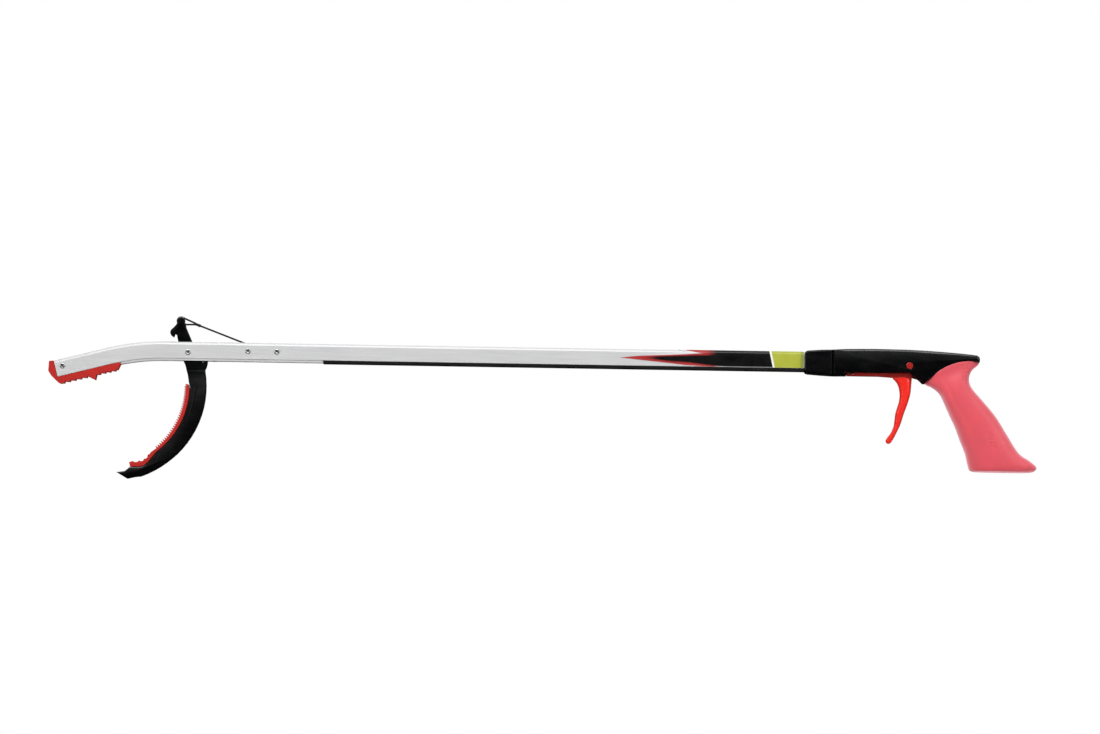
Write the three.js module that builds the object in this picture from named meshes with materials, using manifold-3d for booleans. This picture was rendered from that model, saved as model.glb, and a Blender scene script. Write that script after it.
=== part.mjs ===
// Reacher grabber (litter-picker pattern), in millimetres, +Z up.
//
// The whole tool is drawn in its side view: x runs along the shaft from the jaws (minus) to the
// handle (plus), z is the height above the shaft's straight top face, and y is the width across,
// with y = 0 on the mid-plane. The finished group is then raised so that its lowest point is z = 0.

import * as THREE from 'three';
import { mergeVertices } from 'three/addons/utils/BufferGeometryUtils.js';
import Module from 'manifold-3d';

const wasm = await Module();
wasm.setup();

// ---------------------------------------------------------------- driving dimensions

const GAP = 0.3; // clearance between pieces that touch on the real tool
const FINE_GAP = 0.05; // clearance between flat faces laid on each other

const SHAFT = {
  width: 14,
  depth: 16.2, // top face to the lower edge of the lips
  lipDepth: 2,
  lipInset: 0.7,
  wall: 1.5,
  topRound: 2.5,
  bendX: -324, // the shaft is straight from here to the handle
  bendRadius: 200, // of the top face
  bendAngle: 14.5,
  noseLength: 46.9, // straight run from the bend to the tip
  endX: 249.5,
};

const COVER = { startX: -188, endX: 249, thickness: 0.65 };
const WRAP = { thickness: 0.2, endX: 225, bottomZ: -14 };

const TIP_RIVET = { x: -412, z: -22.3 };
const JAW_PIVOT = { x: -304.3, z: -9 };
const SPRING_ANCHOR = { x: -252.7, z: -7.3 };
const CORD_GUIDE = { x: -227.8, z: -7.3 };
const SPRING_PIN = { x: -291, z: -17 };
const KNOB = { x: -311, z: 18.2, radius: 3.4 };
const CRIMP = { x: -296.5, z: 14.9, length: 5, radius: 1.3 };
const CORD_POST = { x: 261, z: -7.5, radius: 4 };
const SHAFT_PIN = { x: 238, z: -8 };
const TRIGGER_PIN = { x: 316, z: -10.8, radius: 3 };
const CORD_NIPPLE = { x: 266, z: -16.8, radius: 2.1, halfLength: 6.7 };
const HANDLE_SCREWS = { front: { x: 284, z: -5 }, rear: { x: 346, z: -6 } };

const RIVET = { shank: 1.5, head: 2.4, headHeight: 0.9 };
const CORD_RADIUS = 0.7;
const SPRING = { wire: 0.4, coilRadius: 2.5, frontLead: 5, rearLead: 5.5, rearEye: 3.2 };

const JAW = { leverWidth: 9, clawWidth: 15, linerWidth: 14, clawTopZ: -24 };
const TRIGGER_WIDTH = 14;
const SHELL = { width: 24, cavityWidth: 15, coreWidth: 23, split: 0.15, frontX: 250.1 };
const COLLAR = { startX: 225.5, endX: 249.8, width: 23 };
const GRIP_BASE_Z = -100.5;

const LOWEST_Z = -118.3; // the moving jaw's tip, jaws open
const CENTRE_X = 1.5; // middle of the overall length

// ---------------------------------------------------------------- outlines and solids

const radians = THREE.MathUtils.degToRad;
const point = ([x, z]) => new THREE.Vector2(x, z);
const line = (coordinates) => coordinates.map(point);

function arc(x, z, radius, fromDegrees, toDegrees, steps) {
  const points = [];
  for (let step = 0; step <= steps; step += 1) {
    const angle = radians(fromDegrees + ((toDegrees - fromDegrees) * step) / steps);
    points.push(new THREE.Vector2(x + radius * Math.cos(angle), z + radius * Math.sin(angle)));
  }
  return points;
}

function curve(coordinates, steps) {
  return new THREE.SplineCurve(line(coordinates)).getPoints(steps);
}

function solidOf(geometry) {
  const bare = new THREE.BufferGeometry();
  bare.setAttribute('position', geometry.getAttribute('position').clone());
  if (geometry.index) bare.setIndex(geometry.index.clone());
  const merged = mergeVertices(bare, 1e-4);
  return new wasm.Manifold(new wasm.Mesh({
    numProp: 3,
    vertProperties: new Float32Array(merged.getAttribute('position').array),
    triVerts: new Uint32Array(merged.index.array),
  }));
}

function geometryOf(solid) {
  const mesh = solid.getMesh();
  const geometry = new THREE.BufferGeometry();
  geometry.setAttribute('position', new THREE.BufferAttribute(mesh.vertProperties, 3));
  geometry.setIndex(new THREE.BufferAttribute(mesh.triVerts, 1));
  geometry.computeVertexNormals();
  return geometry;
}

const join = (...solids) => solids.reduce((whole, next) => whole.add(next));
const cut = (solid, ...tools) => tools.reduce((whole, tool) => whole.subtract(tool), solid);

// A side-view outline given its width across y. The long edges can be rounded: roundWidth is how
// far the rounding reaches in from each side face, roundEdge how far it eats into the outline.
function slab(points, width, { roundWidth = 0, roundEdge = roundWidth, roundSteps = 2 } = {}) {
  const geometry = new THREE.ExtrudeGeometry(new THREE.Shape(points), {
    depth: width - 2 * roundWidth,
    bevelEnabled: roundWidth > 0,
    bevelThickness: roundWidth,
    bevelSize: roundEdge,
    bevelOffset: -roundEdge,
    bevelSegments: roundSteps,
  });
  geometry.rotateX(Math.PI / 2);
  geometry.translate(0, width / 2 - roundWidth, 0);
  return solidOf(geometry);
}

function box(x0, x1, y0, y1, z0, z1) {
  const geometry = new THREE.BoxGeometry(x1 - x0, y1 - y0, z1 - z0);
  geometry.translate((x0 + x1) / 2, (y0 + y1) / 2, (z0 + z1) / 2);
  return solidOf(geometry);
}

// A round piece on an axis across the tool. The profile lists [radius, y] from one end to the other.
function turned({ x, z }, profile, sides = 14) {
  const geometry = new THREE.LatheGeometry(line(profile), sides);
  geometry.translate(x, 0, z);
  return solidOf(geometry);
}

function pin(place, radius, y0, y1, sides) {
  return turned(place, [[0, y0], [radius, y0], [radius, y1], [0, y1]], sides);
}

function sleeve(place, inner, outer, halfLength) {
  const profile = [
    [inner, -halfLength], [outer, -halfLength], [outer, halfLength], [inner, halfLength],
    [inner, -halfLength],
  ];
  return turned(place, profile);
}

function rod(start, end, radius, sides = 8) {
  const from = new THREE.Vector3(start.x, 0, start.z);
  const to = new THREE.Vector3(end.x, 0, end.z);
  const geometry = new THREE.CylinderGeometry(radius, radius, from.distanceTo(to), sides);
  const direction = to.clone().sub(from).normalize();
  const turn = new THREE.Quaternion().setFromUnitVectors(new THREE.Vector3(0, 1, 0), direction);
  geometry.applyQuaternion(turn);
  geometry.translate((from.x + to.x) / 2, 0, (from.z + to.z) / 2);
  return solidOf(geometry);
}

function ring({ x, z }, radius, wire, sides = 16) {
  const geometry = new THREE.TorusGeometry(radius, wire, 6, sides);
  geometry.rotateX(Math.PI / 2);
  geometry.translate(x, 0, z);
  return solidOf(geometry);
}

function signedVolume(points, index) {
  let volume = 0;
  for (let corner = 0; corner < index.length; corner += 3) {
    const [a, b, c] = index.slice(corner, corner + 3).map((which) => points[which]);
    volume += a.dot(new THREE.Vector3().crossVectors(b, c)) / 6;
  }
  return volume;
}

// A skin over rings of equally many points, closed at both ends. The section is one ring drawn
// flat, which shows how the ends are filled.
function loft(rings, section) {
  const size = section.length;
  const points = rings.flat();
  const last = points.length - size;
  const index = [];
  const caps = THREE.ShapeUtils.triangulateShape(section, []);
  const clockwise = THREE.ShapeUtils.isClockWise(section);
  for (const cap of caps) {
    const [a, b, c] = clockwise ? [...cap].reverse() : cap;
    index.push(a, b, c, last + c, last + b, last + a);
  }
  for (let start = 0; start < last; start += size) {
    for (let side = 0; side < size; side += 1) {
      const a = start + side;
      const b = start + ((side + 1) % size);
      index.push(a, a + size, b, b, a + size, b + size);
    }
  }
  if (signedVolume(points, index) < 0) index.reverse();
  const geometry = new THREE.BufferGeometry().setFromPoints(points);
  geometry.setIndex(index);
  return solidOf(geometry);
}

const along = (start, degrees, distance) => ({
  x: start.x + distance * Math.cos(radians(degrees)),
  z: start.z + distance * Math.sin(radians(degrees)),
});

const slope = (start, end) => THREE.MathUtils.radToDeg(Math.atan2(end.z - start.z, end.x - start.x));
const reach = (start, end) => Math.hypot(end.x - start.x, end.z - start.z);

// ---------------------------------------------------------------- the shaft and what is on it

// Half of a section across the shaft is listed, [y, depth below the top face], and then mirrored.
function mirrored(half) {
  const other = half.map(([y, depth]) => [-y, depth]).reverse();
  return line([...half, ...other]);
}

function shaftSection(gap = 0) {
  const outside = SHAFT.width / 2 + gap;
  const inside = SHAFT.width / 2 - SHAFT.wall - gap;
  const round = SHAFT.topRound;
  const lipTop = SHAFT.depth - SHAFT.lipDepth;
  const lipOutside = SHAFT.width / 2 - SHAFT.lipInset + gap;
  return mirrored([
    [inside, SHAFT.wall + 1 + gap],
    [inside, SHAFT.depth + gap],
    [lipOutside, SHAFT.depth + gap],
    [lipOutside, lipTop + gap],
    [outside, lipTop + gap],
    [outside, round - gap],
    [outside - 0.13 * round, 0.5 * round - gap],
    [outside - 0.5 * round, 0.13 * round - gap],
    [outside - round, -gap],
  ]).concat(line([[-inside + 1, SHAFT.wall + gap], [inside - 1, SHAFT.wall + gap]]));
}

// Where the top face runs, from the tip to the given x: a point on it and its slope in degrees.
function topLine(endX) {
  const stations = [];
  const bendSteps = 8;
  const { bendX, bendRadius, bendAngle, noseLength } = SHAFT;
  const bendEnd = along({ x: bendX, z: -bendRadius }, 90 + bendAngle, bendRadius);
  stations.push({ ...along(bendEnd, 180 + bendAngle, noseLength), degrees: bendAngle });
  for (let step = 0; step <= bendSteps; step += 1) {
    const degrees = bendAngle * (1 - step / bendSteps);
    stations.push({ ...along({ x: bendX, z: -bendRadius }, 90 + degrees, bendRadius), degrees });
  }
  stations.push({ x: endX, z: 0, degrees: 0 });
  return stations;
}

function sweepAlongTop(section, stations) {
  const rings = stations.map((station) => section.map(({ x: y, y: depth }) => {
    const below = along(station, station.degrees - 90, depth);
    return new THREE.Vector3(below.x, y, below.z);
  }));
  return loft(rings, section);
}

function shaftChannel() {
  const body = sweepAlongTop(shaftSection(), topLine(SHAFT.endX));
  const holes = [TIP_RIVET, JAW_PIVOT, SPRING_ANCHOR, CORD_GUIDE, SHAFT_PIN];
  const drills = holes.map((place) => pin(place, RIVET.shank + GAP, -SHAFT.width, SHAFT.width, 12));
  const leverSlot = box(-315.5, -291.3, -JAW.leverWidth / 2 - 0.5, JAW.leverWidth / 2 + 0.5, -3, 2);
  const cordSlot = box(-259, -245, -1.5, 1.5, -3, 2);
  return cut(body, ...drills, leverSlot, cordSlot);
}

function channelCover() {
  const outside = SHAFT.width / 2;
  const inside = outside - SHAFT.lipInset + FINE_GAP;
  const top = SHAFT.depth - SHAFT.lipDepth + FINE_GAP;
  const floor = SHAFT.depth + FINE_GAP;
  const section = mirrored([[inside, top], [outside, top], [outside, floor + COVER.thickness]])
    .concat(line([[-inside, floor], [inside, floor]]));
  const stations = [COVER.startX, COVER.endX].map((x) => ({ x, z: 0, degrees: 0 }));
  return sweepAlongTop(section, stations);
}

// The printed film wraps the top and both sides, and runs out in two spikes towards the jaws.
function graphicWrap() {
  const inner = SHAFT.width / 2 + FINE_GAP;
  const outer = inner + WRAP.thickness;
  const round = SHAFT.topRound;
  const shoulder = (half, top) => [
    [half, -WRAP.bottomZ], [half, round],
    [half - 0.13 * round, 0.5 * round + top], [half - 0.5 * round, 0.13 * round + top],
    [half - round, top],
  ];
  const outside = mirrored(shoulder(outer, -FINE_GAP - WRAP.thickness));
  const inside = mirrored(shoulder(inner, -FINE_GAP)).reverse();
  const stations = [66, WRAP.endX].map((x) => ({ x, z: 0, degrees: 0 }));
  const film = sweepAlongTop([...outside, ...inside], stations);
  const print = slab(line([
    [67, -7.5], [100, -4.2], [125, -2.2], [112, 2], [230, 2], [230, -16], [150, -16], [110, -11.6],
  ]), 2 * SHAFT.width);
  return film.intersect(print);
}

function rivet(place) {
  const face = SHAFT.width / 2 + FINE_GAP;
  const top = face + RIVET.headHeight;
  return turned(place, [
    [0, -top], [RIVET.head * 0.7, -top], [RIVET.head, -top + 0.4], [RIVET.head, -face],
    [RIVET.shank, -face],
    [RIVET.shank, face], [RIVET.head, face], [RIVET.head, top - 0.4], [RIVET.head * 0.7, top], [0, top],
  ]);
}

const innerHalf = SHAFT.width / 2 - SHAFT.wall;
const pivotBush = () => sleeve(JAW_PIVOT, RIVET.shank + GAP, 2.7, innerHalf - GAP);
const cordGuideSpacer = () => sleeve(CORD_GUIDE, RIVET.shank + GAP, 2.3, innerHalf - GAP);

// The tip pad is a block below the lips and over the cut end, with a tongue inside the channel.
function tipPad() {
  const tip = topLine(0)[0];
  const under = SHAFT.depth - SHAFT.lipDepth + GAP;
  const endTop = along(tip, 180 + tip.degrees, GAP);
  const endCorner = along(endTop, tip.degrees - 90, under);
  const block = slab(line([
    [-423.5, -18.6], [-424, -27], [-421.5, -31], [-415.5, -36.8], [-413.5, -37.5],
    ...padRibs([-413.5, -37.5], [-389.5, -31.4], 5),
    [-383.5, -34], [-382.5, -29.4],
    ...padRibs([-382.5, -29.4], [-365, -25.4], 4),
    [-364.5, -25], [-361.5, -18.6], [-368.5, -20.2], [-370.8, -20.5],
    [endCorner.x, endCorner.z], [endTop.x, endTop.z],
  ]), SHAFT.width + 0.6);
  const tongueStart = along(tip, tip.degrees - 90, SHAFT.wall + 1);
  const tongueEnd = along(tip, tip.degrees, 52);
  const tongueHalf = innerHalf - 0.4;
  const tongue = slab(line([
    [endTop.x - 1, endTop.z - 3], [tongueStart.x, tongueStart.z], ...[15, 2.8].map((depth) => {
      const place = along(tongueEnd, tip.degrees - 90, depth);
      return [place.x, place.z];
    }).reverse(),
    [endCorner.x - 1, endCorner.z - 2],
  ]), 2 * tongueHalf);
  const room = sweepAlongTop(shaftSection(0.35), topLine(0));
  return cut(join(block, tongue), room, pin(TIP_RIVET, RIVET.shank + GAP, -20, 20, 12));
}

function padRibs([x0, z0], [x1, z1], count) {
  const points = [];
  for (let rib = 0; rib < count; rib += 1) {
    const start = rib / count;
    const foot = (rib + 0.72) / count;
    points.push([x0 + (x1 - x0) * foot, z0 + (z1 - z0) * foot - 0.5]);
    points.push([x0 + (x1 - x0) * (foot + 0.08 / count), z0 + (z1 - z0) * (start + 1 / count) + 0.6]);
  }
  return points;
}

// ---------------------------------------------------------------- the moving jaw

function jawLever() {
  return slab([
    ...line([[-304.7, -27], [-291, -27], [-288.3, -21.5], [-287.5, -18], [-287.5, -15]]),
    ...line([[-289, -11], [-294, -6.5], [-299, -3], [-301, 0], [-306.5, 12.5], [-307.2, 16]]),
    ...arc(KNOB.x, KNOB.z, KNOB.radius, -20, 200, 10),
    ...curve([[-314.8, 15], [-317, 12.5], [-319.6, 10], [-320, 7.5], [-318.8, 5], [-316.8, 4]], 8),
    ...line([[-315.8, 6.8], [-314.3, 6], [-313, 0], [-312, -6], [-309, -15], [-306.5, -20]]),
  ], JAW.leverWidth, { roundWidth: 0.6 });
}

function jawClaw() {
  return slab([
    ...arc(-370.3, -38.6, 82.1, 10.3, -45, 12),
    ...arc(-373.2, -35.9, 85.9, -48, -69.4, 5),
    ...line([[-348, -116.8], [-354, LOWEST_Z + 0.1], [-355, LOWEST_Z], [-363.7, -113.2]]),
    ...line([[-359, -112.5], [-356.5, -112], [-354.5, -110.5], [-352.4, -108.5], [-345, -108.7]]),
    ...line([[-340, -107.5], [-335.6, -103.3], [-333.9, -100.7]]),
    ...arc(-373.2, -39.3, 71.2, -52.3, 0, 12),
    ...line([[-303, -35.5], [-304.5, -27], [-305.2, JAW.clawTopZ]]),
  ], JAW.clawWidth, { roundWidth: 1 });
}

function jawArm() {
  const pivotBore = pin(JAW_PIVOT, 2.7 + GAP, -10, 10, 16);
  const springPinBore = pin(SPRING_PIN, 1 + GAP, -10, 10, 10);
  const hookSlot = box(-296.5, -284, -1.7, 1.7, -30, -9);
  const cordGroove = sleeve(KNOB, 2.2, 6, 1.2);
  return cut(join(jawLever(), jawClaw()), pivotBore, springPinBore, hookSlot, cordGroove);
}

// Saw teeth run along the liner's curved gripping face.
function jawLiner() {
  const centre = { x: -376.7, z: -38.1 };
  const teeth = [];
  const count = 30;
  for (let tooth = 0; tooth < count; tooth += 1) {
    const degrees = -49.5 + (50.5 * tooth) / count;
    const tip = along(centre, degrees, 70.2);
    const root = along(centre, degrees + (0.6 * 50.5) / count, 71.3);
    teeth.push([tip.x, tip.z], [root.x, root.z]);
  }
  return slab([
    ...line([[-306, -36.8], [-303.3, -36.8]]),
    ...arc(-373.2, -39.3, 70.8, -1, -52.3, 12),
    ...line([[-334.3, -100.4], [-336, -103], [-340.2, -107.1], [-345, -108.3], [-352.1, -108.1]]),
    ...line([[-352.7, -104], [-346, -104], [-341, -103], [-337.5, -100], [-334.5, -95.5]]),
    ...line(teeth),
  ], JAW.linerWidth);
}

const springPin = () => pin(SPRING_PIN, 1, -4.2, 4.2, 10);

// ---------------------------------------------------------------- the spring

const springSlope = slope(SPRING_PIN, SPRING_ANCHOR);
const coilStart = along(SPRING_PIN, springSlope, SPRING.frontLead);
const coilEnd = along(SPRING_ANCHOR, springSlope + 180, SPRING.rearLead);

function springFrontHook() {
  const eye = ring(SPRING_PIN, 2, SPRING.wire);
  return join(eye, rod(along(SPRING_PIN, springSlope, 2), coilStart, SPRING.wire, 6));
}

function springCoil() {
  const from = along(coilStart, springSlope, GAP);
  const to = along(coilEnd, springSlope, -GAP);
  return rod(from, to, SPRING.coilRadius, 12);
}

function springRearHook() {
  const eye = ring(SPRING_ANCHOR, SPRING.rearEye, SPRING.wire);
  return join(eye, rod(coilEnd, along(SPRING_ANCHOR, springSlope, -SPRING.rearEye), SPRING.wire, 6));
}

// ---------------------------------------------------------------- the cord

// A taut cord passes a round guide with its centre line this far from the guide's centre.
const guideOffset = 2.3 + GAP + CORD_RADIUS;
const postOffset = CORD_POST.radius + GAP + CORD_RADIUS;

// The strand leaves the crimp and runs under the cord guide; the long run goes from under the
// guide to the top of the post in the handle; the tail drops from the post to the nipple.
const strandSlope = slope(CRIMP, CORD_GUIDE)
  - THREE.MathUtils.radToDeg(Math.asin(guideOffset / reach(CRIMP, CORD_GUIDE)));
const strandEnd = along(CORD_GUIDE, strandSlope - 90, guideOffset);
const runStart = { x: CORD_GUIDE.x + 0.8, z: CORD_GUIDE.z - guideOffset };
const runEnd = { x: CORD_POST.x, z: CORD_POST.z + postOffset };
const runSlope = slope(runStart, runEnd);
const runBreak = along(runEnd, runSlope, -26);

function cordLoop() {
  const crimpStart = along(CRIMP, strandSlope, -CRIMP.length / 2 - 2 * GAP);
  const eyeRadius = 2.2 + 0.3 + CORD_RADIUS;
  const pull = slope(KNOB, crimpStart);
  const upper = along(KNOB, pull + 78, eyeRadius);
  const lower = along(KNOB, pull - 78, eyeRadius);
  return join(
    ring(KNOB, eyeRadius, CORD_RADIUS),
    rod(upper, { x: crimpStart.x, z: crimpStart.z + 0.5 }, CORD_RADIUS),
    rod(lower, { x: crimpStart.x, z: crimpStart.z - 0.5 }, CORD_RADIUS),
  );
}

function cordCrimp() {
  const half = CRIMP.length / 2;
  return rod(along(CRIMP, strandSlope, -half), along(CRIMP, strandSlope, half), CRIMP.radius);
}

function cordStrand() {
  const start = along(CRIMP, strandSlope, CRIMP.length / 2 + GAP);
  return rod(start, along(strandEnd, strandSlope, -0.4), CORD_RADIUS);
}

const pullCord = () => rod(runStart, runBreak, CORD_RADIUS);

const tailTop = { x: CORD_POST.x + postOffset, z: CORD_POST.z };
const tailSlope = slope(CORD_NIPPLE, tailTop);

// Over the post: the last of the straight run, a quarter turn, and a short drop.
function cordBend() {
  const path = new THREE.CurvePath();
  const corner = (place) => new THREE.Vector3(place.x, 0, place.z);
  path.add(new THREE.LineCurve3(corner(along(runBreak, runSlope, GAP)), corner(runEnd)));
  const turn = arc(CORD_POST.x, CORD_POST.z, postOffset, 90, 0, 5);
  for (let step = 1; step < turn.length; step += 1) {
    const from = { x: turn[step - 1].x, z: turn[step - 1].y };
    path.add(new THREE.LineCurve3(corner(from), corner({ x: turn[step].x, z: turn[step].y })));
  }
  const shape = new THREE.Shape(arc(0, 0, CORD_RADIUS, 0, 315, 7));
  return solidOf(new THREE.ExtrudeGeometry(shape, { steps: 20, bevelEnabled: false, extrudePath: path }));
}

function cordTail() {
  const top = { x: tailTop.x, z: tailTop.z - GAP };
  return rod(top, along(CORD_NIPPLE, tailSlope, CORD_NIPPLE.radius + GAP), CORD_RADIUS);
}

function cordNipple() {
  const { radius, halfLength } = CORD_NIPPLE;
  return pin(CORD_NIPPLE, radius, -halfLength, halfLength, 12);
}

// ---------------------------------------------------------------- the trigger

function trigger() {
  const lever = slab([
    ...line([[262.3, -14], [262.3, -19.9], [290, -19.9], [299, -20.6]]),
    ...curve([
      [303.5, -22.6], [307, -27], [308.4, -35], [307, -44], [304.8, -50], [304, -60], [302.5, -65.5],
      [297.2, -73],
    ], 14),
    ...curve([[296.3, -75.4], [298.4, -77.8], [301, -77]], 4),
    ...curve([[305, -71], [310, -59], [313.5, -48], [317, -39], [318, -28], [318.4, -18]], 10),
    ...arc(TRIGGER_PIN.x, TRIGGER_PIN.z, 6.5, -50, 130, 10),
    ...line([[300, -9.5], [268, -13]]),
  ], TRIGGER_WIDTH, { roundWidth: 1.2 });
  const nippleBore = pin(CORD_NIPPLE, CORD_NIPPLE.radius + GAP, -10, 10, 12);
  const cordSlot = box(260, 268.2, -1.2, 1.2, CORD_NIPPLE.z, -10);
  return cut(lever, pin(TRIGGER_PIN, TRIGGER_PIN.radius + GAP, -10, 10, 16), nippleBore, cordSlot);
}

const triggerPin = () => pin(TRIGGER_PIN, TRIGGER_PIN.radius, -11.9, 11.9, 16);

const cordGuidePost = () => turned(CORD_POST, [
  [0, -9.5], [2, -9.5], [2, -7.2], [CORD_POST.radius, -7.2],
  [CORD_POST.radius, 7.2], [2, 7.2], [2, 9.5], [0, 9.5],
]);

// ---------------------------------------------------------------- the handle

// The line where the black handle meets the soft grip, from the tail to the front.
const gripLine = (drop = 0) => curve([
  [376.2, -7 - drop], [370, -6.6 - drop], [360, -8 - drop], [350, -11.6 - drop],
  [340, -17.6 - drop], [330 - drop, -25.4 - drop],
], 10);

// The hard core of the grip stands inside the soft sleeve.
function gripCore(grow, topZ) {
  return [
    ...line([[343 - grow, topZ]]),
    ...curve([
      [343 - grow, -27], [351 - grow, -44], [358 - grow, -59], [364 - grow, -73], [370 - grow, -91],
    ], 6),
    ...line([[370 - grow, -93 - grow], [404 + grow, -93 - grow]]),
    ...curve([
      [403 + grow, -84], [393 + grow, -66], [383 + grow, -51], [371 + grow, -37], [364 + grow, -24],
    ], 6),
    ...line([[364 + grow, topZ]]),
  ];
}

function handleOutline() {
  return [
    ...line([[SHELL.frontX, -20], [SHELL.frontX, 2.3]]),
    ...curve([[262, 2.9], [280, 3.3], [300, 3.3], [320, 3], [345, 1.7], [365, 0.2], [374, -0.9]], 9),
    ...curve([[376, -2.3], [376.6, -4.4], [376.3, -6.2]], 3),
    ...gripLine(),
    ...line([[328, -25.4], [324, -21.6], [319, -20.3], [317, -17.5], [262, -17.5], [262, -19.8]]),
  ];
}

// Both half shells at once, before they are split on the mid-plane.
function handleShells() {
  const body = slab(handleOutline(), SHELL.width, { roundWidth: 2.6, roundEdge: 2.2, roundSteps: 3 });
  const core = slab(gripCore(0, -5), SHELL.coreWidth);
  const cheeks = [-1, 1].map((side) => box(
    228, 252, Math.min(side * 7.5, side * 9), Math.max(side * 7.5, side * 9), -15, -1,
  ));
  const room = slab(line([
    [240, -17.4], [240, -1], [324.5, -1], [324.5, -16], [328.5, -24], [329.5, -32], [261.7, -32],
    [261.7, -17.4],
  ]), SHELL.cavityWidth);
  const coreRoom = slab(gripCore(-2.6, -24), SHELL.coreWidth - 5);
  const bosses = Object.values(HANDLE_SCREWS).map((place) => pin(place, 3.2, -8.5, 8.5, 14));
  const screwHoles = Object.values(HANDLE_SCREWS).flatMap((place) => [
    pin(place, 1.5, -8.5, 15, 10), pin(place, 3, 9.8, 15, 14),
  ]);
  const holes = [
    pin(TRIGGER_PIN, TRIGGER_PIN.radius + GAP, -15, 15, 16),
    pin(CORD_POST, 2 + GAP, -9.8, 9.8, 14),
    pin(SHAFT_PIN, RIVET.shank + GAP, -15, 15, 12),
  ];
  const hollow = cut(join(body, core, ...cheeks), room, coreRoom);
  return cut(join(hollow, ...bosses), ...screwHoles, ...holes);
}

const wholeShells = handleShells();
const handleShellLeft = () => wholeShells.intersect(box(200, 440, -30, -SHELL.split, -130, 30));
const handleShellRight = () => wholeShells.intersect(box(200, 440, SHELL.split, 30, -130, 30));

function handleScrew(place) {
  return turned(place, [[0, -8.2], [1.2, -8.2], [1.2, 10.1], [2.6, 10.1], [2.6, 11.6], [0, 11.6]], 12);
}

function frontCollar() {
  const body = slab([
    ...line([[COLLAR.endX, -20], [COLLAR.endX, 2.2], [240, 1.9]]),
    ...curve([[229, 1.1], [226.4, 0.2], [COLLAR.startX, -2]], 3),
    ...curve([[COLLAR.startX, -15.5], [226.4, -17.8], [229, -18.7]], 3),
    ...line([[240, -19.5]]),
  ], COLLAR.width, { roundWidth: 2.4, roundEdge: 1.2 });
  return cut(body, box(220, 255, -9.3, 9.3, -17.3, 0.4));
}

const shaftPin = () => pin(SHAFT_PIN, RIVET.shank, -8.9, 8.9, 12);

// Slices through the soft grip from the top down: its front point, back point and half width.
const GRIP_SLICES = [
  { front: [325, -16], back: [376.5, -1], half: 12.2 },
  { front: [330, -25.6], back: [375.2, -8], half: 12.4 },
  { front: [337.5, -29.2], back: [370, -13.5], half: 13.6 },
  { front: [343, -34.5], back: [367.7, -20.5], half: 14.8 },
  { front: [346.5, -41.5], back: [370, -28.5], half: 15.6 },
  { front: [351.5, -52.5], back: [380, -40], half: 16.3 },
  { front: [356.5, -63], back: [391, -53], half: 16.8 },
  { front: [360.5, -73.5], back: [400.5, -68], half: 17.2 },
  { front: [365, -84.5], back: [411, -84], half: 17.5 },
  { front: [366.6, -92], back: [421, -91], half: 17.5 },
  { front: [368, -97], back: [426.8, -96], half: 17.5 },
  { front: [371.5, GRIP_BASE_Z], back: [422, GRIP_BASE_Z], half: 15 },
];

// A rounded slice: an oval squared off a little, in the plane through its front and back points.
function gripSlice({ front, back, half }) {
  const sides = 24;
  const middle = [(front[0] + back[0]) / 2, (front[1] + back[1]) / 2];
  const soften = (value) => Math.sign(value) * Math.abs(value) ** 0.78;
  return Array.from({ length: sides }, (_, side) => {
    const angle = (2 * Math.PI * side) / sides;
    const lengthwise = soften(Math.cos(angle));
    return new THREE.Vector3(
      middle[0] + lengthwise * (back[0] - middle[0]),
      half * soften(Math.sin(angle)),
      middle[1] + lengthwise * (back[1] - middle[1]),
    );
  });
}

function gripSleeve() {
  const rings = GRIP_SLICES.map(gripSlice);
  const body = loft(rings, rings[0].map(({ x, y }) => new THREE.Vector2(x, y)));
  const coreRoom = slab(gripCore(GAP, -2), SHELL.coreWidth + 2 * GAP);
  const handleRoom = slab([
    ...gripLine(GAP), ...line([[315, -25.4], [315, 10], [385, 10], [385, -7 - GAP]]),
  ], 4 * SHAFT.width);
  const strapHole = new THREE.CylinderGeometry(1.8, 1.8, 8, 10);
  strapHole.rotateX(Math.PI / 2);
  strapHole.translate(398, 0, GRIP_BASE_Z);
  return cut(body, coreRoom, handleRoom, solidOf(strapHole));
}

// ---------------------------------------------------------------- colours and assembly

const LOOKS = {
  aluminium: { color: 0xcfd1d3, roughness: 0.35, metalness: 0.9 },
  steel: { color: 0xb9bcc0, roughness: 0.3, metalness: 1 },
  blackPlastic: { color: 0x0b0c0e, roughness: 0.25, metalness: 0 },
  wrapFilm: { color: 0x121212, roughness: 0.3, metalness: 0 },
  redRubber: { color: 0xc23a2c, roughness: 0.7, metalness: 0 },
  redPlastic: { color: 0xea3325, roughness: 0.35, metalness: 0 },
  grip: { color: 0xe05a66, roughness: 0.55, metalness: 0 },
  cord: { color: 0x141414, roughness: 0.9, metalness: 0 },
};

const group = new THREE.Group();

function place(name, look, solid) {
  const mesh = new THREE.Mesh(geometryOf(solid), new THREE.MeshStandardMaterial(LOOKS[look]));
  mesh.name = name;
  group.add(mesh);
}

place('shaft_channel', 'aluminium', shaftChannel());
place('channel_cover', 'blackPlastic', channelCover());
place('graphic_wrap', 'wrapFilm', graphicWrap());
place('tip_pad', 'redRubber', tipPad());
place('tip_rivet', 'steel', rivet(TIP_RIVET));
place('jaw_pivot_rivet', 'steel', rivet(JAW_PIVOT));
place('jaw_pivot_bush', 'steel', pivotBush());
place('spring_anchor_rivet', 'steel', rivet(SPRING_ANCHOR));
place('cord_guide_rivet', 'steel', rivet(CORD_GUIDE));
place('cord_guide_spacer', 'steel', cordGuideSpacer());

place('jaw_arm', 'blackPlastic', jawArm());
place('jaw_liner', 'redRubber', jawLiner());
place('spring_pin', 'steel', springPin());
place('spring_front_hook', 'steel', springFrontHook());
place('spring_coil', 'steel', springCoil());
place('spring_rear_hook', 'steel', springRearHook());

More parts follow.
